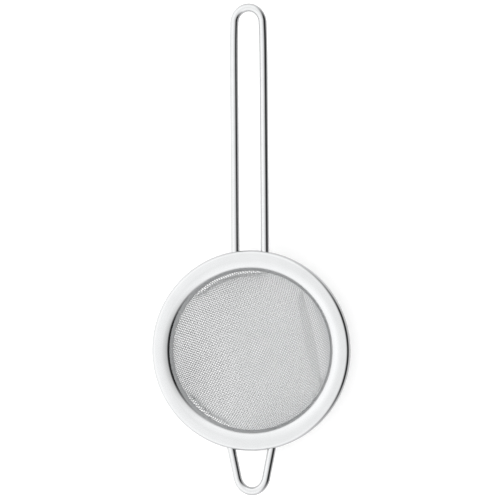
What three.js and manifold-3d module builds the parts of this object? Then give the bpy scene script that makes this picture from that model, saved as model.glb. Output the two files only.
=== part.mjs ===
// A stainless steel tea strainer: a cup of woven wire cloth pinched in a hollow polished rim,
// with a long hairpin wire handle and, opposite it, a short wire hook that rests on the far side of a cup.
// Millimetres, +Z up. The rim lies level, the handle points along +Y, and the cup's lowest point is at Z = 0.

import * as THREE from "three";
import { mergeVertices } from "three/addons/utils/BufferGeometryUtils.js";
import Module from "manifold-3d";

// Driving dimensions

const RIM_RADIUS = 40; // outside of the rim
const SHEET = 0.5; // thickness of the pressed steel sheet
const FIT_GAP = 0.15; // left between pieces that touch

const WIRE_RADIUS = 1.65; // handle and hook
const WIRE_DEPTH = 2.5; // middle of the wires, below the top of the rim: they lie just under its sheet
const WIRE_END_Y = 35; // the wires end inside the hollow rim, this far from the cup's axis along Y

// Both wires are hairpins: two legs and, at the far end, a bend that is part of an ellipse.
const HANDLE = {
  reach: 138.6, // from the cup's axis to the far end
  halfWidth: 5.7, // of the ellipse, to the middle of the wire
  bendRise: 6.2, // the ellipse's other half axis
  splay: 0.16, // degrees by which each leg leans out towards the rim
  side: 1,
};
const HOOK = { reach: 57.9, halfWidth: 5.95, bendRise: 7, splay: 11.5, side: -1 };

// The rim's pressed section, as arcs that run on from one another. Angles are those of the sheet's normal,
// measured from straight up, towards the cup's axis where positive. Depths are below the top of the rim.
const COLLAR_LEAN = 28; // degrees from upright: the collar narrows downwards
const COLLAR_DEPTH = 3.1;
const BELL_RADIUS = 2.2;
const BELL_TO_SHOULDER = 20; // degrees
const SHOULDER_RADIUS = 8;
const CREST_RADIUS = 36.6; // distance of the rim's highest ring from the axis
const CROWN_RADIUS = 23.3;
const CROWN_TO_EDGE = 5; // degrees
const EDGE_RADIUS = 1.5;
const SKIRT_DEPTH = 4; // lower edge of the outer wall

// The base ring, a shallow pan: a sleeve that pinches the cloth, a flat underside and an edge turned up
// inside the rim's outer wall.
const SLEEVE_TOP_DEPTH = 1.85;
const SLEEVE_BEND_RADIUS = 0.7;
const BASE_DEPTH = 4.7; // the underside
const BASE_CORNER_RADIUS = 0.9;
const BASE_FLANGE_DEPTH = 3; // top of the turned-up edge

const CLOTH = 0.6; // two wires of the weave, one over the other
const CLOTH_TOP_DEPTH = 1.85; // the cloth's edge, hidden in the rim
const CLOTH_BEND_DEPTH = 3.3; // where the straight pinch runs on into the round of the cup
const CUP_BOTTOM_RADIUS = 42; // radius of curvature at the cup's lowest point

const WELD_SIZE = [1.45, 1.5, 0.8]; // half width, half length and half height of a weld bead

// How finely the round shapes are divided

const ROUND_STEPS = 60; // around the rim and the cup
const CUP_STEPS = 10; // from the pinch to the cup's lowest point
const WIRE_SIDES = 12;
const HANDLE_STEPS = 48;
const HOOK_STEPS = 32;
const WELD_SIDES = 12;
const WELD_RINGS = 8;

// Heights and radii that follow from them

const rad = THREE.MathUtils.degToRad;
const lean = rad(COLLAR_LEAN);

const SHOULDER_DROP = SHOULDER_RADIUS * (1 - Math.cos(rad(BELL_TO_SHOULDER)));
const BELL_TOP_RADIUS = CREST_RADIUS - SHOULDER_RADIUS * Math.sin(rad(BELL_TO_SHOULDER));
const BELL_CENTRE = {
  r: BELL_TOP_RADIUS + BELL_RADIUS * Math.sin(rad(BELL_TO_SHOULDER)),
  depth: SHOULDER_DROP + BELL_RADIUS * Math.cos(rad(BELL_TO_SHOULDER)),
};
const COLLAR_TOP = {
  r: BELL_CENTRE.r - BELL_RADIUS * Math.cos(lean),
  depth: BELL_CENTRE.depth - BELL_RADIUS * Math.sin(lean),
};

// The collar's inner face, or a surface that lies outside it by the given amount.
function collarRadiusAt(depth, out = 0) {
  return COLLAR_TOP.r - (depth - COLLAR_TOP.depth) * Math.tan(lean) + out / Math.cos(lean);
}

// The middle of the cloth: the end of an ellipsoid, whose wall runs on smoothly into the leaning pinch.
const CLOTH_OUT = SHEET + FIT_GAP + CLOTH / 2; // from the collar's inner face
const PINCH_RADIUS = collarRadiusAt(CLOTH_BEND_DEPTH, CLOTH_OUT);
// How far the pinch lies below the ellipsoid's middle, as a share of its half height
const PINCH_DROP = (PINCH_RADIUS * Math.tan(lean)) / CUP_BOTTOM_RADIUS;
const CUP_HALF_WIDTH = PINCH_RADIUS / Math.sqrt(1 - PINCH_DROP ** 2);
const CUP_HALF_HEIGHT = CUP_HALF_WIDTH ** 2 / CUP_BOTTOM_RADIUS;
const CUP_CENTRE_DEPTH = CLOTH_BEND_DEPTH - CUP_HALF_HEIGHT * PINCH_DROP;

const RIM_TOP = CUP_CENTRE_DEPTH + CUP_HALF_HEIGHT + CLOTH / 2;
const WIRE_HEIGHT = RIM_TOP - WIRE_DEPTH;
const CUP_Y = -(HANDLE.reach - HOOK.reach) / 2; // the middle of the whole length is at Y = 0

// Shapes

// Points of an arc in a section: radius from the axis, then height.
function arc(centreR, centreDepth, radius, fromDegrees, toDegrees, steps) {
  const points = [];
  for (let i = 0; i <= steps; i++) {
    const angle = rad(90 + fromDegrees + ((toDegrees - fromDegrees) * i) / steps);
    const r = centreR + radius * Math.cos(angle);
    points.push(new THREE.Vector2(r, RIM_TOP - centreDepth + radius * Math.sin(angle)));
  }
  return points;
}

const at = (r, depth) => new THREE.Vector2(r, RIM_TOP - depth);

// A ring or a cup turned about the axis. A profile that doesn't end on the axis comes back to its start.
function turned(profile) {
  const closed = profile[0].x === 0 ? profile : [...profile, profile[0].clone()];
  return new THREE.LatheGeometry(closed, ROUND_STEPS).rotateX(Math.PI / 2);
}

// The face of the pressed rim, or the surface that lies under it by the given amount.
function rimFace(under) {
  const edgeStart = -CROWN_TO_EDGE;
  const crownDrop = CROWN_RADIUS * (1 - Math.cos(rad(CROWN_TO_EDGE)));
  const edgeDepth = crownDrop + EDGE_RADIUS * Math.cos(rad(CROWN_TO_EDGE));
  return [
    at(collarRadiusAt(COLLAR_DEPTH, under), COLLAR_DEPTH),
    ...arc(BELL_CENTRE.r, BELL_CENTRE.depth, BELL_RADIUS - under, 90 - COLLAR_LEAN, BELL_TO_SHOULDER, 4),
    ...arc(CREST_RADIUS, SHOULDER_RADIUS, SHOULDER_RADIUS - under, BELL_TO_SHOULDER, 0, 2).slice(1),
    ...arc(CREST_RADIUS, CROWN_RADIUS, CROWN_RADIUS - under, 0, edgeStart, 1).slice(1),
    ...arc(RIM_RADIUS - EDGE_RADIUS, edgeDepth, EDGE_RADIUS - under, edgeStart, -90, 5).slice(1),
    at(RIM_RADIUS - under, SKIRT_DEPTH),
  ];
}

// A wire bent in a level plane. Steps follow the parameter and not the length, so a bend gets its share.
class LevelPath extends THREE.Curve {
  constructor(pointAt) {
    super();
    this.pointAt = pointAt;
  }
  getPoint(t, target = new THREE.Vector3()) {
    const [x, y] = this.pointAt(t);
    return target.set(x, y, WIRE_HEIGHT);
  }
  getUtoTmapping(u) {
    return u;
  }
}

function round(radius, sides) {
  const points = [];
  for (let i = 0; i < sides; i++) {
    const angle = (2 * Math.PI * (i + 0.5)) / sides;
    points.push(new THREE.Vector2(radius * Math.cos(angle), radius * Math.sin(angle)));
  }
  return new THREE.Shape(points);
}

function wire(path, steps, radius = WIRE_RADIUS) {
  return new THREE.ExtrudeGeometry(round(radius, WIRE_SIDES), { extrudePath: path, steps });
}

const between = (a, b, t) => [a[0] + (b[0] - a[0]) * t, a[1] + (b[1] - a[1]) * t];

// The bend of a hairpin's middle line. It meets the left leg at t = 0 and is half way round at t = 0.5.
function bendAt(pin, t) {
  const centreY = pin.reach - WIRE_RADIUS - pin.bendRise;
  const legAngle = Math.atan((Math.tan(rad(pin.splay)) * pin.bendRise) / pin.halfWidth);
  const angle = Math.PI - legAngle - (Math.PI - 2 * legAngle) * t;
  return [pin.halfWidth * Math.cos(angle), pin.side * (centreY + pin.bendRise * Math.sin(angle))];
}

// Where the left leg ends inside the rim.
function legStart(pin) {
  const [x, y] = bendAt(pin, 0);
  return [x - (Math.abs(y) - WIRE_END_Y) * Math.tan(rad(pin.splay)), pin.side * WIRE_END_Y];
}

// One leg in, the bend, and the same leg mirrored. The leg and the bend each take a share of t.
function hairpin(pin) {
  const LEG_SHARE = 0.25;
  return new LevelPath((t) => {
    const mirrored = t > 0.5;
    const s = mirrored ? 1 - t : t;
    const [x, y] = s < LEG_SHARE
      ? between(legStart(pin), bendAt(pin, 0), s / LEG_SHARE)
      : bendAt(pin, (s - LEG_SHARE) / (1 - 2 * LEG_SHARE));
    return [mirrored ? -x : x, y];
  });
}

// The four places where a wire goes through the rim's wall: the wire's line, from inside the rim outwards.
function wallCrossings() {
  return Object.entries({ handle: HANDLE, hook: HOOK }).flatMap(([name, pin]) => {
    const from = legStart(pin);
    const to = bendAt(pin, 0);
    return [
      { name: name + "_weld_left", from, to },
      { name: name + "_weld_right", from: [-from[0], from[1]], to: [-to[0], to[1]] },
    ];
  });
}

const wasm = await Module();
wasm.setup();

const SAME_POINT = 1e-4; // corners nearer than this are one corner

function solid(geometry) {
  const bare = geometry.clone();
  bare.deleteAttribute("normal");
  bare.deleteAttribute("uv");
  const merged = mergeVertices(bare, SAME_POINT);
  const vertProperties = merged.attributes.position.array;
  const triVerts = new Uint32Array(merged.index.array);
  return new wasm.Manifold(new wasm.Mesh({ numProp: 3, vertProperties, triVerts }));
}

function geometryOf(manifold) {
  const mesh = manifold.getMesh();
  const geometry = new THREE.BufferGeometry();
  geometry.setAttribute("position", new THREE.BufferAttribute(mesh.vertProperties, 3));
  geometry.setIndex(new THREE.BufferAttribute(mesh.triVerts, 1));
  geometry.computeVertexNormals();
  return geometry;
}

// The room that a leg needs as it goes through the rim's wall: the wire and its gap, as far as the bend.
function legRoom({ from, to }) {
  const leg = new LevelPath((t) => between(from, to, t));
  return solid(wire(leg, 1, WIRE_RADIUS + FIT_GAP));
}

// Cuts the openings that the four wires go through.
function notched(geometry) {
  return geometryOf(wallCrossings().reduce((body, leg) => body.subtract(legRoom(leg)), solid(geometry)));
}

// Sub-parts

const steel = (color, roughness) => new THREE.MeshStandardMaterial({ color, roughness, metalness: 1 });
const polished = steel(0xdfe1e2, 0.08);
const pressed = steel(0xcfd1d3, 0.25);
const drawn = steel(0xdcdee0, 0.12);
const woven = steel(0xb4b6b8, 0.4);
const weldMetal = steel(0xa9aaac, 0.45);

function named(name, geometry, material) {
  const mesh = new THREE.Mesh(geometry, material);
  mesh.name = name;
  return mesh;
}

function rimShell() {
  const profile = [...rimFace(0), ...rimFace(SHEET).reverse()];
  return named("rim_shell", notched(turned(profile.reverse())), polished);
}

function baseRing() {
  const sleeveOut = SHEET + 2 * FIT_GAP + CLOTH; // from the collar's inner face
  const bendDepth = BASE_DEPTH - SLEEVE_BEND_RADIUS;
  const sleeveEndDepth = bendDepth - SLEEVE_BEND_RADIUS * Math.sin(lean);
  const bendR = collarRadiusAt(sleeveEndDepth, sleeveOut) + SLEEVE_BEND_RADIUS * Math.cos(lean);
  const outside = RIM_RADIUS - SHEET - FIT_GAP;
  const cornerR = outside - BASE_CORNER_RADIUS;
  const cornerDepth = BASE_DEPTH - BASE_CORNER_RADIUS;
  const face = (inset) => [
    at(collarRadiusAt(SLEEVE_TOP_DEPTH, sleeveOut + inset), SLEEVE_TOP_DEPTH),
    ...arc(bendR, bendDepth, SLEEVE_BEND_RADIUS - inset, 90 - COLLAR_LEAN, 180, 3),
    ...arc(cornerR, cornerDepth, BASE_CORNER_RADIUS - inset, -180, -90, 3),
    at(outside - inset, BASE_FLANGE_DEPTH),
  ];
  return named("base_ring", notched(turned([...face(0), ...face(SHEET).reverse()])), pressed);
}

function meshCup() {
  const bendAngle = Math.acos(PINCH_DROP);
  const face = (out) => {
    const points = [at(collarRadiusAt(CLOTH_TOP_DEPTH, CLOTH_OUT + out), CLOTH_TOP_DEPTH)];
    for (let i = 0; i <= CUP_STEPS; i++) {
      const angle = bendAngle * (1 - i / CUP_STEPS);
      const normal = new THREE.Vector2(Math.sin(angle) / CUP_HALF_WIDTH, Math.cos(angle) / CUP_HALF_HEIGHT);
      normal.setLength(out);
      const depth = CUP_CENTRE_DEPTH + CUP_HALF_HEIGHT * Math.cos(angle);
      points.push(at(CUP_HALF_WIDTH * Math.sin(angle) + normal.x, depth + normal.y));
    }
    return points;
  };
  return named("mesh_cup", turned([...face(CLOTH / 2).reverse(), ...face(-CLOTH / 2)]), woven);
}

function handleWire() {
  return named("handle_wire", wire(hairpin(HANDLE), HANDLE_STEPS), drawn);
}

function supportHook() {
  return named("support_hook", wire(hairpin(HOOK), HOOK_STEPS), drawn);
}

// Beads in the corner between the underside of each wire and the outside of the rim.
function weldBeads() {
  const clearRadius = RIM_RADIUS + FIT_GAP;
  const rimBlock = solid(
    new THREE.CylinderGeometry(clearRadius, clearRadius, 2 * RIM_TOP, ROUND_STEPS).rotateX(Math.PI / 2),
  );
  return wallCrossings().map((leg) => {
    const y = RIM_RADIUS * Math.sign(leg.to[1]);
    const [x] = between(leg.from, leg.to, (y - leg.from[1]) / (leg.to[1] - leg.from[1]));
    const bead = new THREE.SphereGeometry(1, WELD_SIDES, WELD_RINGS)
      .scale(...WELD_SIZE)
      .translate(x, y, WIRE_HEIGHT - WIRE_RADIUS);
    const corner = solid(bead).subtract(rimBlock).subtract(legRoom(leg));
    return named(leg.name, geometryOf(corner), weldMetal);
  });
}

const strainer = new THREE.Group();
strainer.name = "tea_strainer";
strainer.position.y = CUP_Y;
strainer.add(rimShell(), baseRing(), meshCup(), handleWire(), supportHook(), ...weldBeads());

export default strainer;
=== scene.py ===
"""A stainless steel tea strainer: wire cloth pinched in a hollow rim, a hairpin handle and a hook.

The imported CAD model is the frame. Every CAD node is replaced by a fine piece that lies where it does.
Pieces are worked out in millimetres about the cup's axis and are placed in the row frame, in metres.
"""

import math

import bpy
import numpy as np
from mathutils import Matrix, Vector


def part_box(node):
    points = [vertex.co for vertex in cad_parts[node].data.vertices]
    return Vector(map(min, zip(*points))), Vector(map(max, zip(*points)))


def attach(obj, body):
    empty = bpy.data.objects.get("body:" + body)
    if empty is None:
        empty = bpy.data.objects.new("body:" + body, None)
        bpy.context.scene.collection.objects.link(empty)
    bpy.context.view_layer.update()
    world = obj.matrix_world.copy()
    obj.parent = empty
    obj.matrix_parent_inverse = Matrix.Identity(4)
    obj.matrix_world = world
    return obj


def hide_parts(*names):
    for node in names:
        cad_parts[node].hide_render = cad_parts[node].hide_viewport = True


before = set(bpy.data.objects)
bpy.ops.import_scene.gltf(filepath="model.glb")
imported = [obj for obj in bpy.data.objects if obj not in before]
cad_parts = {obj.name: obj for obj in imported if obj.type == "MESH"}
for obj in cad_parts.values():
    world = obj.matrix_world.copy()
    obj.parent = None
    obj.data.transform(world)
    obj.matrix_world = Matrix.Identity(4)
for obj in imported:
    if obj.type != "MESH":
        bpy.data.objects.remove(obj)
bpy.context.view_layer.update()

MM = 0.001

# ---- Places and sizes taken from the frame, in millimetres ----

rim_low, rim_high = (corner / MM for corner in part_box("rim_shell"))
handle_low, handle_high = (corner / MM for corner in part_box("handle_wire"))
hook_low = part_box("support_hook")[0] / MM

AXIS_X = (rim_low.x + rim_high.x) / 2
AXIS_Y = (rim_low.y + rim_high.y) / 2
RIM_RADIUS = (rim_high.x - rim_low.x) / 2
RIM_TOP = rim_high.z
HANDLE_REACH = handle_high.y - AXIS_Y
HOOK_REACH = AXIS_Y - hook_low.y
WIRE_Z = (handle_low.z + handle_high.z) / 2
WIRE_DEPTH = RIM_TOP - WIRE_Z

# ---- The part's own driving dimensions, in millimetres ----

SHEET = 0.5
FIT = 0.05  # the fine pieces sit closer together than the CAD ones do
WIRE_RADIUS = 1.65
WIRE_END_Y = 35  # the wires end inside the hollow rim
HANDLE_BEND = {"half_width": 5.7, "rise": 6.2, "splay": 0.0, "spread": 0.28}
HOOK_BEND = {"half_width": 5.95, "rise": 7.0, "splay": math.radians(11.5), "spread": 0.0}
SPREAD_LENGTH = 6  # along a leg from the bend, before most of its spread is reached

COLLAR_LEAN = math.radians(28)
COLLAR_DEPTH = 3.1
BELL_RADIUS = 2.2
BELL_TO_SHOULDER = math.radians(20)
SHOULDER_RADIUS = 8
CREST_RADIUS = 36.6
CROWN_RADIUS = 23.3
CROWN_TO_EDGE = math.radians(5)
EDGE_RADIUS = 1.5
SKIRT_DEPTH = 4
BASE_DEPTH = 4.7
BASE_CORNER_RADIUS = 0.9
BASE_FLANGE_DEPTH = 3
SLEEVE_TOP_DEPTH = 1.85
SLEEVE_BEND_RADIUS = 0.7

CLOTH = 0.6
CLOTH_TOP_DEPTH = 1.85
CLOTH_BEND_DEPTH = 3.3
CUP_BOTTOM_RADIUS = 42  # radius of curvature at the cup's lowest point
CLOTH_GAP = 0.15  # the cloth lies where its CAD node does
MESH_WIRE_RADIUS = 0.18
MESH_PITCH = 0.91
CLOTH_TURN = math.radians(-25)  # the weave's first direction, from +X

RIGHT_ANGLE = math.pi / 2

# ---- How finely the pieces are divided: steps in millimetres and degrees, and numbers of points ----

RIM_STEP, BASE_STEP, LEG_STEP = 0.35, 0.4, 2.0
RING_STEP = 1.5
NEAR_WIRE_POINTS, NEAR_WIRE_REACH = 61, 3.6  # round the rim, where a wire goes through it
ROUND_END_POINTS = 7
BEND_POINTS, LEG_POINTS = 73, 60
WIRE_SIDES, CLOTH_WIRE_SIDES = 40, 6
BEAD_RINGS, BEAD_SIDES = 24, 36
NET_CELLS = 52  # from the cup's lowest point along each way of the weave, to well past its edge
STEPS_PER_CELL = 3


# ---- Sections of the pressed pieces: points of (radius, depth below the rim's top) ----

def arc(centre, radius, start, end, steps):
    """Part of a circle. Its angles are those of the outward normal, from straight up towards the axis."""
    angles = np.linspace(start, end, steps + 1)
    return np.column_stack([centre[0] - radius * np.sin(angles), centre[1] - radius * np.cos(angles)])


bell_top_r = CREST_RADIUS - SHOULDER_RADIUS * math.sin(BELL_TO_SHOULDER)
shoulder_drop = SHOULDER_RADIUS * (1 - math.cos(BELL_TO_SHOULDER))
BELL_CENTRE = (
    bell_top_r + BELL_RADIUS * math.sin(BELL_TO_SHOULDER),
    shoulder_drop + BELL_RADIUS * math.cos(BELL_TO_SHOULDER),
)
COLLAR_TOP = (
    BELL_CENTRE[0] - BELL_RADIUS * math.cos(COLLAR_LEAN),
    BELL_CENTRE[1] - BELL_RADIUS * math.sin(COLLAR_LEAN),
)


def collar_r(depth, out=0.0):
    """Radius of the collar's inner face at a depth, or of a surface that lies outside it by out."""
    return COLLAR_TOP[0] - (depth - COLLAR_TOP[1]) * math.tan(COLLAR_LEAN) + out / math.cos(COLLAR_LEAN)


def rim_face():
    """The polished face of the rim, from the collar's lower edge over the top to the foot of the skirt."""
    crown_drop = CROWN_RADIUS * (1 - math.cos(CROWN_TO_EDGE))
    edge_centre = (RIM_RADIUS - EDGE_RADIUS, crown_drop + EDGE_RADIUS * math.cos(CROWN_TO_EDGE))
    return np.vstack([
        [(collar_r(COLLAR_DEPTH), COLLAR_DEPTH)],
        arc(BELL_CENTRE, BELL_RADIUS, RIGHT_ANGLE - COLLAR_LEAN, BELL_TO_SHOULDER, steps=24),
        arc((CREST_RADIUS, SHOULDER_RADIUS), SHOULDER_RADIUS, BELL_TO_SHOULDER, 0, steps=12)[1:],
        arc((CREST_RADIUS, CROWN_RADIUS), CROWN_RADIUS, 0, -CROWN_TO_EDGE, steps=8)[1:],
        arc(edge_centre, EDGE_RADIUS, -CROWN_TO_EDGE, -RIGHT_ANGLE, steps=24)[1:],
        [(RIM_RADIUS, SKIRT_DEPTH)],
    ])


def base_face():
    """The seen face of the base ring: down from its sleeve's top, out along the seat and up the edge."""
    sleeve_out = SHEET + 2 * CLOTH_GAP + CLOTH
    outside = RIM_RADIUS - SHEET - FIT
    corner = (outside - BASE_CORNER_RADIUS, BASE_DEPTH - BASE_CORNER_RADIUS)
    bend_depth = BASE_DEPTH - SLEEVE_BEND_RADIUS
    sleeve_end = bend_depth - SLEEVE_BEND_RADIUS * math.sin(COLLAR_LEAN)
    bend_r = collar_r(sleeve_end, sleeve_out) + SLEEVE_BEND_RADIUS * math.cos(COLLAR_LEAN)
    return np.vstack([
        [(collar_r(SLEEVE_TOP_DEPTH, sleeve_out), SLEEVE_TOP_DEPTH)],
        arc((bend_r, bend_depth), SLEEVE_BEND_RADIUS, RIGHT_ANGLE - COLLAR_LEAN, math.pi, steps=10),
        arc(corner, BASE_CORNER_RADIUS, -math.pi, -RIGHT_ANGLE, steps=12),
        [(outside, BASE_FLANGE_DEPTH)],
    ])


def resampled(points, spacing):
    """The same line, with its own points kept and others added, so that no step is longer than spacing."""
    rows = [points[:1]]
    for a, b in zip(points[:-1], points[1:]):
        steps = max(1, math.ceil(np.linalg.norm(b - a) / spacing))
        share = np.linspace(0, 1, steps + 1)[1:, None]
        rows.append(a + (b - a) * share)
    return np.vstack(rows)


def sheet_section(face, side):
    """A closed section of a pressed sheet: the seen face, a rounded end, the hidden face, a rounded end.

    side is 1 if the metal lies to the right of the face's direction in (radius, depth), -1 if to its left.
    """
    along = np.gradient(face, axis=0)
    along /= np.linalg.norm(along, axis=1)[:, None]
    inwards = side * np.column_stack([along[:, 1], -along[:, 0]])
    hidden = face + SHEET * inwards
    middle_end, middle_start = (face[-1] + hidden[-1]) / 2, (face[0] + hidden[0]) / 2
    turn = np.linspace(0, math.pi, ROUND_END_POINTS)[1:-1, None]
    half = SHEET / 2
    end = middle_end - half * inwards[-1] * np.cos(turn) + half * along[-1] * np.sin(turn)
    start = middle_start + half * inwards[0] * np.cos(turn) - half * along[0] * np.sin(turn)
    return np.vstack([face, end, hidden[::-1], start])


# ---- Wires ----

def hairpin_line(reach, side, half_width, rise, splay, spread):
    """Middle of a wire bent into a U, from the end of its left leg round to the end of its right one.

    The bend is part of an ellipse. From there each leg leans outwards by splay and moves out a little by
    spread. side is 1 for a wire that reaches towards +Y, and -1 towards -Y.
    """
    centre_y = reach - WIRE_RADIUS - rise
    leg_angle = math.atan(math.tan(splay) * rise / half_width)
    angle = np.linspace(math.pi - leg_angle, leg_angle, BEND_POINTS)
    bend = np.column_stack([half_width * np.cos(angle), centre_y + rise * np.sin(angle)])
    from_bend = np.linspace(bend[0, 1] - WIRE_END_Y, 0, LEG_POINTS)[:-1]
    outwards = from_bend * math.tan(splay) + spread * (1 - np.exp(-from_bend / SPREAD_LENGTH))
    left = np.column_stack([bend[0, 0] - outwards, bend[0, 1] - from_bend])
    return np.vstack([left, bend, left[::-1] * (-1, 1)]) * (1, side)


handle_line = hairpin_line(HANDLE_REACH, 1, **HANDLE_BEND)
hook_line = hairpin_line(HOOK_REACH, -1, **HOOK_BEND)


def wall_crossings():
    """Where the four legs go through the rim: (weld's name, a point on the leg, direction outwards)."""
    found = []
    for name, line in (("handle", handle_line), ("hook", hook_line)):
        for side, inner, outer in (("left", line[0], line[1]), ("right", line[-1], line[-2])):
            direction = (outer - inner) / np.linalg.norm(outer - inner)
            found.append((f"{name}_weld_{side}", inner, direction))
    return found


# ---- Mesh making ----

def new_piece(name, points, faces, material, replaced):
    """A smooth piece that rides on the root body and stands for one CAD node.

    Points are in millimetres, about the cup's axis, with their own height.
    """
    mesh = bpy.data.meshes.new(name)
    placed = (np.asarray(points, float) + (AXIS_X, AXIS_Y, 0)) * MM
    mesh.from_pydata(placed.tolist(), [], faces)
    mesh.validate()
    mesh.shade_smooth()
    mesh.materials.append(material)
    piece = bpy.data.objects.new(name, mesh)
    bpy.context.scene.collection.objects.link(piece)
    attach(piece, "root")
    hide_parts(replaced)
    return piece


def grid_faces(rows, columns, rows_closed, columns_closed, first=0):
    """Quads over a grid of points stored row by row."""
    i = np.arange(rows if rows_closed else rows - 1)[:, None]
    j = np.arange(columns if columns_closed else columns - 1)[None, :]
    next_i, next_j = (i + 1) % rows, (j + 1) % columns
    corners = [i * columns + j, i * columns + next_j, next_i * columns + next_j, next_i * columns + j]
    return (np.stack(corners, -1).reshape(-1, 4) + first).tolist()


def turned(sections, angles):
    """Points and faces of a ring whose closed section may differ from one angle to the next."""
    section = np.asarray(sections)
    points = np.stack([
        section[..., 0] * np.cos(angles)[:, None],
        section[..., 0] * np.sin(angles)[:, None],
        RIM_TOP - section[..., 1],
    ], -1)
    faces = grid_faces(len(angles), section.shape[1], rows_closed=True, columns_closed=True)
    return points.reshape(-1, 3), faces


def tube(line, normals, radius, sides, first=0):
    """Points and faces of a round wire along a line, with flat ends.

    normals are unit vectors across the line. first is the number of points that its piece has already.
    """
    along = np.gradient(line, axis=0)
    along /= np.linalg.norm(along, axis=1)[:, None]
    across = np.cross(along, normals)
    across /= np.linalg.norm(across, axis=1)[:, None]
    up = np.cross(across, along)
    angle = np.linspace(0, 2 * math.pi, sides, endpoint=False)
    cos, sin = np.cos(angle)[None, :, None], np.sin(angle)[None, :, None]
    ring = cos * up[:, None] + sin * across[:, None]
    points = (line[:, None] + radius * ring).reshape(-1, 3)
    faces = grid_faces(len(line), sides, rows_closed=False, columns_closed=True, first=first)
    last = first + (len(line) - 1) * sides
    faces.append(list(range(first, first + sides)))
    faces.append(list(range(last + sides - 1, last - 1, -1)))
    return points, faces


# ---- Materials ----

class Nodes:
    """Short ways to add nodes to a material's or the world's tree."""

    def __init__(self, tree):
        self.tree = tree

    def add(self, kind, **settings):
        node = self.tree.nodes.new(kind)
        for name, value in settings.items():
            setattr(node, name, value)
        return node

    def link(self, output, socket):
        self.tree.links.new(output, socket)

    def maths(self, operation, *values):
        node = self.add("ShaderNodeMath", operation=operation)
        for i, value in enumerate(values):
            if isinstance(value, (int, float)):
                node.inputs[i].default_value = value
            else:
                self.link(value, node.inputs[i])
        return node.outputs[0]

    def length(self, x, y):
        """The length of the level vector (x, y)."""
        squares = [self.maths("MULTIPLY", part, part) for part in (x, y)]
        return self.maths("SQRT", self.maths("ADD", *squares))

    def noise(self, vector, scale, detail=4.0):
        node = self.add("ShaderNodeTexNoise")
        node.inputs["Scale"].default_value = scale
        node.inputs["Detail"].default_value = detail
        self.link(vector, node.inputs["Vector"])
        return node.outputs["Fac"]

    def ranged(self, value, low, high, from_low=0.3, from_high=0.7):
        """A value between low and high. The usual range to start from is what noise mostly stays in."""
        node = self.add("ShaderNodeMapRange")
        node.inputs["From Min"].default_value = from_low
        node.inputs["From Max"].default_value = from_high
        node.inputs["To Min"].default_value = low
        node.inputs["To Max"].default_value = high
        self.link(value, node.inputs["Value"])
        return node.outputs["Result"]

    def ramp(self, value, stops):
        """Grey against a value from 0 to 1."""
        node = self.add("ShaderNodeValToRGB")
        elements = node.color_ramp.elements
        while len(elements) < len(stops):
            elements.new(0.5)
        for element, (place, tone) in zip(elements, stops):
            element.position = place
            element.color = (tone, tone, tone, 1)
        self.link(value, node.inputs["Fac"])
        return node.outputs["Color"]

    def blended(self, factor, colour_a, colour_b):
        """A mix of two colours, each of them three numbers or a node's output."""
        node = self.add("ShaderNodeMix", data_type="RGBA")
        for name, colour in (("A", colour_a), ("B", colour_b)):
            if isinstance(colour, tuple):
                node.inputs[name].default_value = (*colour, 1)
            else:
                self.link(colour, node.inputs[name])
        self.link(factor, node.inputs["Factor"])
        return node.outputs["Result"]

    def bump(self, height, strength, distance, socket):
        node = self.add("ShaderNodeBump")
        node.inputs["Strength"].default_value = strength
        node.inputs["Distance"].default_value = distance
        self.link(height, node.inputs["Height"])
        self.link(node.outputs["Normal"], socket)


EDGE_TINT = (0.75, 0.75, 0.75, 1)  # steel reflects a little less just before grazing angles
POLISHED_TONES = ((0.51, 0.515, 0.52), (0.55, 0.555, 0.56))
PRESSED_TONES = ((0.58, 0.585, 0.59), (0.65, 0.655, 0.66))
CLOTH_TONE = (0.6, 0.605, 0.61)
WELD_TONES = ((0.42, 0.4, 0.37), (0.56, 0.53, 0.47))


def steel(name):
    """A bare metal material: its node helper and its shader."""
    material = bpy.data.materials.new(name)
    material.use_nodes = True
    nodes = Nodes(material.node_tree)
    shader = material.node_tree.nodes["Principled BSDF"]
    shader.inputs["Metallic"].default_value = 1.0
    shader.inputs["Specular Tint"].default_value = EDGE_TINT
    return material, nodes, shader


def object_place(nodes):
    """Object coordinates in millimetres about the cup's axis."""
    place = nodes.add("ShaderNodeTexCoord").outputs["Object"]
    mapping = nodes.add("ShaderNodeMapping")
    mapping.inputs["Scale"].default_value = (1 / MM,) * 3
    mapping.inputs["Location"].default_value = (-AXIS_X, -AXIS_Y, 0)
    nodes.link(place, mapping.inputs["Vector"])
    return mapping.outputs["Vector"]


def turned_grain(nodes, across, along):
    """A vector for noise that streaks round the cup's axis.

    across is its scale per millimetre of radius and height, and along its scale per radian round the axis.
    """
    parts = nodes.add("ShaderNodeSeparateXYZ")
    nodes.link(object_place(nodes), parts.inputs[0])
    x, y, z = parts.outputs
    radius = nodes.length(x, y)
    angle = nodes.maths("ARCTAN2", y, x)
    joined = nodes.add("ShaderNodeCombineXYZ")
    for part, scale, socket in zip((radius, angle, z), (across, along, across), joined.inputs):
        nodes.link(nodes.maths("MULTIPLY", part, scale), socket)
    return joined.outputs[0]


def dress(nodes, shader, tone_noise, tones, fine_noise, roughness, relief, depth):
    """Give a steel a colour between two tones, a range of roughness and a fine relief, its depth in mm."""
    nodes.link(nodes.blended(tone_noise, *tones), shader.inputs["Base Color"])
    nodes.link(nodes.ranged(fine_noise, *roughness), shader.inputs["Roughness"])
    nodes.bump(fine_noise, relief, depth * MM, shader.inputs["Normal"])


def polished_rim_steel():
    material, nodes, shader = steel("polished_rim_steel")
    grain = nodes.noise(turned_grain(nodes, across=9.0, along=5.0), scale=1.0)
    cloud = nodes.noise(object_place(nodes), scale=0.12, detail=2.0)
    dress(nodes, shader, cloud, POLISHED_TONES, grain, roughness=(0.07, 0.13), relief=0.05, depth=0.02)
    return material


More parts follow.
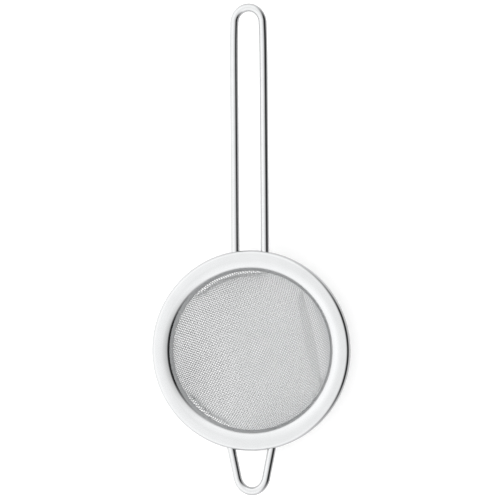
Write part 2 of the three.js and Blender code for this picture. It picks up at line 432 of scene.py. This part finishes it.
def pressed_ring_steel():
    material, nodes, shader = steel("pressed_ring_steel")
    grain = nodes.noise(turned_grain(nodes, across=6.0, along=3.0), scale=1.0)
    cloud = nodes.noise(object_place(nodes), scale=0.1, detail=3.0)
    dress(nodes, shader, cloud, PRESSED_TONES, grain, roughness=(0.18, 0.3), relief=0.12, depth=0.03)
    return material


def drawn_wire_steel():
    """Drawn wire is polished with faint lines along its length, which is nearly along Y everywhere."""
    material, nodes, shader = steel("drawn_wire_steel")
    stretch = nodes.add("ShaderNodeMapping")
    stretch.inputs["Scale"].default_value = (5.0, 0.15, 5.0)
    nodes.link(object_place(nodes), stretch.inputs["Vector"])
    lines = nodes.noise(stretch.outputs[0], scale=1.0)
    cloud = nodes.noise(object_place(nodes), scale=0.2, detail=2.0)
    dress(nodes, shader, cloud, POLISHED_TONES, lines, roughness=(0.06, 0.14), relief=0.06, depth=0.02)
    return material


def wire_cloth_steel():
    """The cloth's wires are fine and a little dull, so only their roughness and a faint relief vary."""
    material, nodes, shader = steel("wire_cloth_steel")
    shader.inputs["Base Color"].default_value = (*CLOTH_TONE, 1)
    cloud = nodes.noise(object_place(nodes), scale=0.6, detail=3.0)
    nodes.link(nodes.ranged(cloud, low=0.35, high=0.5), shader.inputs["Roughness"])
    fine = nodes.noise(object_place(nodes), scale=9.0, detail=2.0)
    nodes.bump(fine, strength=0.1, distance=0.02 * MM, socket=shader.inputs["Normal"])
    return material


def weld_steel():
    """Weld metal is rippled and keeps a faint straw tint from the heat."""
    material, nodes, shader = steel("weld_steel")
    place = object_place(nodes)
    tint = nodes.noise(place, scale=1.1, detail=3.0)
    rough = nodes.noise(place, scale=4.0)
    dress(nodes, shader, tint, WELD_TONES, rough, roughness=(0.3, 0.5), relief=0.4, depth=0.05)
    return material


# ---- Rim shell and base ring ----

NOTCH_RADIUS = WIRE_RADIUS + FIT
ARCH_SQUARENESS = 3  # of the skirt's arch over a wire: 2 would be round


def ring_angles():
    """Angles round the rim, close together where a wire goes through it."""
    found = [np.radians(np.arange(0, 360, RING_STEP))]
    near_wire = np.radians(np.linspace(-NEAR_WIRE_REACH, NEAR_WIRE_REACH, NEAR_WIRE_POINTS))
    for _, point, direction in wall_crossings():
        x, y = point + direction * (RIM_RADIUS - WIRE_END_Y)
        found.append(math.atan2(y, x) + near_wire)
    return np.unique(np.round(np.concatenate(found) % (2 * math.pi), 5))


def distance_to_wire(angle):
    """How far the rim's wall at this angle is from the nearest wire's line, seen from above."""
    wall = RIM_RADIUS * np.array([math.cos(angle), math.sin(angle)])
    found = []
    for _, point, direction in wall_crossings():
        away = wall - point
        if away @ direction > 0 and wall @ point > 0:
            found.append(abs(away[0] * direction[1] - away[1] * direction[0]))
    return min(found, default=math.inf)


def shortened(face, fixed, end_depth):
    """A face whose part after row `fixed` is drawn in evenly, so that it ends at end_depth on its way.

    Rows keep their number, so neighbouring sections still join.
    """
    tail = face[fixed:]
    steps = np.linalg.norm(np.diff(tail, axis=0), axis=1)
    length = np.concatenate([[0], np.cumsum(steps)])
    way = 1 if tail[-1, 1] > tail[-2, 1] else -1
    order = way * tail[:, 1]
    start = int(np.argmin(order))
    end = np.interp(way * end_depth, order[start:], length[start:])
    wanted = length * (end / length[-1])
    drawn_in = np.column_stack([np.interp(wanted, length, tail[:, k]) for k in range(2)])
    return np.vstack([face[:fixed], drawn_in])


def rim_shell(angles, material):
    """The skirt arches over each wire that goes through it."""
    face = resampled(rim_face(), RIM_STEP)
    crest = int(np.argmin(face[:, 1]))
    arch_height = SKIRT_DEPTH - (WIRE_DEPTH - NOTCH_RADIUS)
    sections = []
    for angle in angles:
        aside = distance_to_wire(angle) / (NOTCH_RADIUS + FIT)
        rise = 0.0
        if aside < 1:
            rise = arch_height * (1 - aside**ARCH_SQUARENESS) ** (1 / ARCH_SQUARENESS)
        sections.append(sheet_section(shortened(face, crest, SKIRT_DEPTH - rise), -1))
    points, faces = turned(sections, angles)
    return new_piece("rim_shell_polished", points, faces, material, "rim_shell")


def base_ring(angles, material):
    """The turned-up edge dips under each wire."""
    face = resampled(base_face(), BASE_STEP)
    seat_end = int(np.argmax(face[:, 0] > RIM_RADIUS - SHEET - FIT - BASE_CORNER_RADIUS))
    sections = []
    for angle in angles:
        aside = distance_to_wire(angle)
        end_depth = BASE_FLANGE_DEPTH
        if aside < NOTCH_RADIUS:
            end_depth = max(end_depth, WIRE_DEPTH + math.sqrt(NOTCH_RADIUS**2 - aside**2))
        sections.append(sheet_section(shortened(face, seat_end, end_depth), 1))
    points, faces = turned(sections, angles)
    return new_piece("base_ring_pressed", points, faces, material, "base_ring")


# ---- Handle and hook ----

BEAD_HALF_SIZE = (1.4, 1.4, 0.75)  # across the wire, along it and in height
BEAD_OUT = 0.1  # from the rim's wall to the bead's middle
BEAD_RIPPLE, BEAD_UNEVENNESS = 0.035, 0.02  # as shares of the bead's size


def wire_piece(name, line, material, replaced):
    """A wire bent in a level plane, with its long straight legs divided for an even surface."""
    level = resampled(line, LEG_STEP)
    middle = np.column_stack([level, np.full(len(level), WIRE_Z)])
    upright = np.tile((0.0, 0.0, 1.0), (len(middle), 1))
    points, faces = tube(middle, upright, WIRE_RADIUS, WIRE_SIDES)
    return new_piece(name, points, faces, material, replaced)


def weld_bead(name, point, direction, material):
    """A rippled bead in the corner between a wire's underside and the rim's wall."""
    where = point + direction * (RIM_RADIUS + BEAD_OUT - np.linalg.norm(point))
    lift = np.linspace(0, math.pi, BEAD_RINGS)[:, None]
    turn = np.linspace(0, 2 * math.pi, BEAD_SIDES, endpoint=False)[None, :]
    ball = np.stack([
        np.sin(lift) * np.cos(turn),
        np.sin(lift) * np.sin(turn),
        np.cos(lift) * np.ones_like(turn),
    ], -1)
    # Ripples lie across the wire, one behind the other, and a slower swell runs round the bead.
    ripple = 1 + BEAD_RIPPLE * np.sin(9 * ball[..., 1] + 2 * ball[..., 0])
    ripple = ripple + BEAD_UNEVENNESS * np.sin(5 * turn + 3 * lift)
    across = np.array([direction[1], -direction[0]])
    shaped = ball * BEAD_HALF_SIZE * ripple[..., None]
    level = shaped[..., :1] * across + shaped[..., 1:2] * direction + where
    height = shaped[..., 2:] + WIRE_Z - WIRE_RADIUS
    points = np.concatenate([level, height], -1).reshape(-1, 3)
    faces = grid_faces(BEAD_RINGS, BEAD_SIDES, rows_closed=False, columns_closed=True)
    return new_piece(name + "_bead", points, faces, material, name)


# ---- Wire cloth ----

# The cup is the end of an ellipsoid whose wall runs on smoothly into the pinch.
PINCH_R = collar_r(CLOTH_BEND_DEPTH, SHEET + CLOTH_GAP + CLOTH / 2)
# How far the pinch lies below the ellipsoid's middle, as a share of its half height
PINCH_DROP = PINCH_R * math.tan(COLLAR_LEAN) / CUP_BOTTOM_RADIUS
CUP_HALF_WIDTH = PINCH_R / math.sqrt(1 - PINCH_DROP**2)
CUP_HALF_HEIGHT = CUP_HALF_WIDTH**2 / CUP_BOTTOM_RADIUS
PINCH_Z = RIM_TOP - CLOTH_BEND_DEPTH
CUP_CENTRE_Z = PINCH_Z + CUP_HALF_HEIGHT * PINCH_DROP
PINCH_LENGTH = (CLOTH_BEND_DEPTH - CLOTH_TOP_DEPTH) / math.cos(COLLAR_LEAN)
CUP_AXES = np.array([CUP_HALF_WIDTH, CUP_HALF_WIDTH, CUP_HALF_HEIGHT])

NET_TOP = -1.0  # mm from the ellipsoid's middle: above it, past the cup's edge, the net runs straight on
SOLVER_STEPS = 6
FEWEST_POINTS = 4  # a shorter end of wire is left out

FOLD_START = 0.3  # mm up inside the pinch, where the folds and creases begin

# Places where the pressed cloth leaves the collar in a fold, in degrees from +X and mm: the fold's two
# ends, how far it stands in from the round cup, the angle over which it gets there, and the depth of the
# groove at its foot near its ends and in its middle.
LEDGES = [
    {"ends": (73, 142), "inset": 1.4, "taper": 15, "groove": 2.0, "middle_groove": 0.2},
    {"ends": (208, 260), "inset": 1.0, "taper": 14, "groove": 1.5, "middle_groove": 1.5},
    {"ends": (-46, -13), "inset": 0.9, "taper": 13, "groove": 1.3, "middle_groove": 1.3},
]
LEDGE_DROP = 1.5  # mm down the wall from FOLD_START, where a fold stands in by its whole inset
LEDGE_FADE = 2.8  # mm further down over which the cup becomes round again
GROOVE_DROP = 2.3  # mm down the wall from FOLD_START, where the groove is deepest
GROOVE_HALF_WIDTH = 0.55

# Straight creases lower on the wall: (their two ends, in degrees from +X, and the dent's depth in mm).
CREASES = [(-26, 50, 2.2), (158, 207, 1.5)]
CREASE_WIDTH_OUTSIDE, CREASE_WIDTH_INSIDE = 3.0, 5.0
CREASE_DEEP_IN = 2.0  # mm in from the collar, where a crease gets its full depth


def next_crossing(a, b, back):
    """The point of the cup one pitch from a and from b, on the far side of them from back."""
    point = a + b - back
    for _ in range(SOLVER_STEPS):
        offset = point / CUP_AXES
        miss = np.array([
            ((point - a) ** 2).sum() - MESH_PITCH**2,
            ((point - b) ** 2).sum() - MESH_PITCH**2,
            (offset**2).sum() - 1,
        ])
        slope = np.array([2 * (point - a), 2 * (point - b), 2 * offset / CUP_AXES])
        point = point - np.linalg.solve(slope, miss)
    return point


def cloth_net(count):
    """Crossings of a pin-jointed net pressed over the cup, about the ellipsoid's centre.

    Each cell keeps its four equal sides, so it shears instead of stretching, as woven cloth does. The two
    wires that cross at the lowest point run straight out from it.
    """
    quarter = np.zeros((count + 1, count + 1, 3))
    quarter[0, 0] = (0, 0, -CUP_HALF_HEIGHT)
    angle = 0.0
    for i in range(1, count + 1):
        arc_rate = math.hypot(CUP_HALF_WIDTH * math.cos(angle), CUP_HALF_HEIGHT * math.sin(angle))
        angle += MESH_PITCH / arc_rate
        across, down = CUP_HALF_WIDTH * math.sin(angle), -CUP_HALF_HEIGHT * math.cos(angle)
        quarter[i, 0] = (across, 0, down)
        quarter[0, i] = (0, across, down)
    for i in range(1, count + 1):
        for j in range(1, count + 1):
            a, b, back = quarter[i - 1, j], quarter[i, j - 1], quarter[i - 1, j - 1]
            past_edge = max(a[2], b[2]) > NET_TOP
            quarter[i, j] = a + b - back if past_edge else next_crossing(a, b, back)
    index = np.arange(-count, count + 1)
    net = quarter[np.abs(index)[:, None], np.abs(index)[None, :]].copy()
    net[..., 0] *= np.where(index < 0, -1, 1)[:, None]
    net[..., 1] *= np.where(index < 0, -1, 1)[None, :]
    cos, sin = math.cos(CLOTH_TURN), math.sin(CLOTH_TURN)
    x, y = net[..., 0].copy(), net[..., 1].copy()
    net[..., 0], net[..., 1] = cos * x - sin * y, sin * x + cos * y
    return net


def above_pinch(points):
    """How far each point of the ellipsoid is up the wall from the start of the pinch; negative below."""
    radius, height = np.hypot(points[..., 0], points[..., 1]), points[..., 2] + CUP_CENTRE_Z
    distance = np.hypot(radius - PINCH_R, height - PINCH_Z)
    return np.where(height > PINCH_Z, distance, -distance)


def from_middle(azimuth, start, end):
    """How far each azimuth is from halfway between two angles, and half of the angle between them."""
    middle, half = math.radians((start + end) / 2), math.radians((end - start) / 2)
    return np.abs((azimuth - middle + math.pi) % (2 * math.pi) - math.pi), half


def chord(azimuth, start, end):
    """How far a circle's chord is from its centre, as a share of the radius; 1 beyond the chord's ends."""
    away, half = from_middle(azimuth, start, end)
    return np.where(away < half, math.cos(half) / np.cos(np.minimum(away, half)), 1.0)


def ledge_share(azimuth, start, end, taper):
    """How much of a ledge is there at an azimuth, from 0 beyond its ends to 1 in its middle."""
    away, half = from_middle(azimuth, start, end)
    share = np.clip((half - away) / math.radians(taper), 0, 1)
    return share**2 * (3 - 2 * share)


def on_cloth(points):
    """The cup's middle surface: the ellipsoid's end, running on into the leaning pinch, with its folds."""
    x, y, z = points[..., 0], points[..., 1], points[..., 2]
    azimuth = np.arctan2(y, x)
    past = above_pinch(points)
    in_pinch = past > 0
    radius = np.where(in_pinch, PINCH_R + past * math.sin(COLLAR_LEAN), np.hypot(x, y))
    height = np.where(in_pinch, PINCH_Z + past * math.cos(COLLAR_LEAN), z + CUP_CENTRE_Z)
    below = np.maximum(0, FOLD_START - past)
    mouth_r = collar_r(COLLAR_DEPTH)
    for start, end, dent in CREASES:
        line_r = mouth_r * chord(azimuth, start, end)
        outside = radius - line_r
        width = np.where(outside > 0, CREASE_WIDTH_OUTSIDE, CREASE_WIDTH_INSIDE)
        tent = np.clip(1 - np.abs(outside) / width, 0, 1)
        deepened = np.clip((mouth_r - line_r) / CREASE_DEEP_IN, 0, 1)
        height = height + dent * tent * deepened * np.clip(below, 0, 1)
    opening = np.clip(below / LEDGE_DROP, 0, 1)
    fading = np.exp(-(np.maximum(0, below - LEDGE_DROP) / LEDGE_FADE) ** 2)
    groove = np.exp(-(((below - GROOVE_DROP) / GROOVE_HALF_WIDTH) ** 2))
    for ledge in LEDGES:
        start, end = ledge["ends"]
        share = ledge_share(azimuth, start, end, ledge["taper"])
        to_middle = ledge_share(azimuth, start, end, (end - start) / 2)
        depth = share * (ledge["groove"] + (ledge["middle_groove"] - ledge["groove"]) * to_middle)
        radius = radius - ledge["inset"] * share * opening * fading
        height = height - depth * groove
    return np.stack([radius * np.cos(azimuth), radius * np.sin(azimuth), height], -1)


def cloth_wires(net, first_over, steps):
    """The wires along the net's second axis: (their middle lines, surface normals, which points are kept).

    first_over is 1 or -1, and says whether even wires start above or below the ones that they cross.
    steps is how many steps there are from one crossing to the next.
    """
    count = net.shape[1]
    place = np.linspace(0, count - 1, (count - 1) * steps + 1)
    low = np.minimum(place.astype(int), count - 2)
    share = (place - low)[None, :, None]
    fine = net[:, low] * (1 - share) + net[:, low + 1] * share
    surface = on_cloth(fine)
    normal = np.cross(np.gradient(surface, axis=0), np.gradient(surface, axis=1))
    length = np.linalg.norm(normal, axis=-1)[..., None]
    normal = normal / np.maximum(length, 1e-9)
    normal *= np.where((normal * fine).sum(-1) > 0, -1, 1)[..., None]
    alternate = np.where(np.arange(len(net)) % 2, -1, 1)
    weave = np.cos(math.pi * place)[None, :] * alternate[:, None]
    line = surface + normal * (first_over * (CLOTH / 2 - MESH_WIRE_RADIUS) * weave)[..., None]
    inside = above_pinch(fine) < PINCH_LENGTH
    return line, normal, inside


def cloth_half(name, lines, normals, inside, material):
    """One piece made of the wires that run one way in one half of the cloth."""
    all_points, all_faces, first = [], [], 0
    for line, normal, keep in zip(lines, normals, inside):
        run = np.flatnonzero(keep)
        if len(run) < FEWEST_POINTS:
            continue
        part = slice(run[0], run[-1] + 1)
        points, faces = tube(line[part], normal[part], MESH_WIRE_RADIUS, CLOTH_WIRE_SIDES, first)
        all_points.append(points)
        all_faces.extend(faces)
        first += len(points)
    return new_piece(name, np.vstack(all_points), all_faces, material, "mesh_cup")


def wire_cloth(material):
    """Four pieces: two ways of the weave, each in two halves."""
    net = cloth_net(NET_CELLS)
    for way, grid, over in (("warp", net, 1), ("weft", net.transpose(1, 0, 2), -1)):
        lines, normals, inside = cloth_wires(grid, over, STEPS_PER_CELL)
        middle = len(grid) // 2
        for half, part in (("low", slice(None, middle)), ("high", slice(middle, None))):
            cloth_half(f"cloth_{way}_{half}", lines[part], normals[part], inside[part], material)


# ---- Floor, light and camera ----

WHITE = (1.0, 1.0, 1.0)
FLOOR_SIZE = 20.0  # metres
FLOOR_TONE = 0.97
FLOOR_GLOW = 0.13  # brings the lit floor up to white
SKY_STRENGTH = 1.75

# The sky's brightness against degrees from straight up, towards +X where positive
TONES_ACROSS = [
    (-180, 0.6), (-110, 0.9), (-66, 0.97), (-34, 1.05), (-10, 0.885), (0, 0.83), (20, 0.61), (30, 0.46),
    (42, 0.1), (52, 0.02), (88, 0.02), (98, 0.12), (118, 0.55), (180, 0.6),
]
# Its brightness against degrees above the horizon, towards +Y and -Y
TONES_ALONG = [(-90, 0.6), (-20, 0.62), (5, 0.74), (40, 1.0), (70, 0.93), (90, 0.84)]
# Where TONES_ACROSS starts to give way to TONES_ALONG, and where it has, round from +X and -X
CARD_FADE_START, CARD_FADE_END = math.radians(25), math.radians(75)

PICTURE_WIDTH_MM = 199.2
CAMERA_DISTANCE = 1.2
CAMERA_LEAN = math.radians(10)  # towards +X from straight above
CAMERA_TURN = math.radians(0.44)  # about its own line of sight
AIM_X, AIM_FROM_AXIS_Y = 0.37, 40.1  # mm: what the middle of the picture shows


def floor():
    bpy.ops.mesh.primitive_plane_add(size=FLOOR_SIZE)
    plane = bpy.context.object
    plane.name = "floor"
    material = bpy.data.materials.new("pale_floor")
    material.use_nodes = True
    shader = material.node_tree.nodes["Principled BSDF"]
    shader.inputs["Base Color"].default_value = (FLOOR_TONE, FLOOR_TONE, FLOOR_TONE, 1)
    shader.inputs["Roughness"].default_value = 0.9
    shader.inputs["Specular IOR Level"].default_value = 0.1
    shader.inputs["Emission Color"].default_value = (*WHITE, 1)
    shader.inputs["Emission Strength"].default_value = FLOOR_GLOW
    plane.data.materials.append(material)
    plane.visible_glossy = False  # the sky's lower half stands for it in reflections
    plane.visible_shadow = False


def soft_sky():
    """White light from all round, with a dark card on the +X side. The camera itself sees plain white."""
    world = bpy.data.worlds.new("studio")
    bpy.context.scene.world = world
    world.use_nodes = True
    nodes = Nodes(world.node_tree)
    background = world.node_tree.nodes["Background"]
    background.inputs["Strength"].default_value = SKY_STRENGTH
    parts = nodes.add("ShaderNodeSeparateXYZ")
    nodes.link(nodes.add("ShaderNodeTexCoord").outputs["Generated"], parts.inputs[0])
    x, y, z = parts.outputs

    def by_angle(angle, tones):
        """A grey for an angle in radians, from a list of (degrees, tone)."""
        turns = nodes.maths("DIVIDE", angle, 2 * math.pi)
        return nodes.ramp(nodes.maths("ADD", turns, 0.5), [(0.5 + a / 360, tone) for a, tone in tones])

    across = by_angle(nodes.maths("ARCTAN2", x, z), TONES_ACROSS)
    along = by_angle(nodes.maths("ARCSINE", z), TONES_ALONG)
    sideways = nodes.maths("DIVIDE", nodes.maths("ABSOLUTE", x), nodes.length(x, y))
    share = nodes.ranged(sideways, 0, 1, math.cos(CARD_FADE_END), math.cos(CARD_FADE_START))
    seen = nodes.add("ShaderNodeLightPath").outputs["Is Camera Ray"]
    shown = nodes.blended(seen, nodes.blended(share, along, across), WHITE)
    nodes.link(shown, background.inputs["Color"])


def camera():
    data = bpy.data.cameras.new("camera")
    data.sensor_width = 36.0
    data.lens = data.sensor_width * CAMERA_DISTANCE / (PICTURE_WIDTH_MM * MM)
    item = bpy.data.objects.new("camera", data)
    bpy.context.scene.collection.objects.link(item)
    back = Vector((math.sin(CAMERA_LEAN), 0, math.cos(CAMERA_LEAN)))
    right = Vector((math.sin(CAMERA_TURN), math.cos(CAMERA_TURN), 0)).cross(back).normalized()
    up = back.cross(right)
    aim = Vector((AXIS_X + AIM_X, AXIS_Y + AIM_FROM_AXIS_Y, RIM_TOP)) * MM
    turn = Matrix((right, up, back)).transposed().to_4x4()
    item.matrix_world = Matrix.Translation(aim + back * CAMERA_DISTANCE) @ turn
    bpy.context.scene.camera = item


camera()
floor()
soft_sky()

round_rim = ring_angles()
wire_material = drawn_wire_steel()
bead_material = weld_steel()
rim_shell(round_rim, polished_rim_steel())
base_ring(round_rim, pressed_ring_steel())
wire_piece("handle_wire_drawn", handle_line, wire_material, "handle_wire")
wire_piece("support_hook_drawn", hook_line, wire_material, "support_hook")
for bead_name, leg_point, leg_direction in wall_crossings():
    weld_bead(bead_name, leg_point, leg_direction, bead_material)
wire_cloth(wire_cloth_steel())

bpy.context.scene.view_settings.view_transform = "Standard"
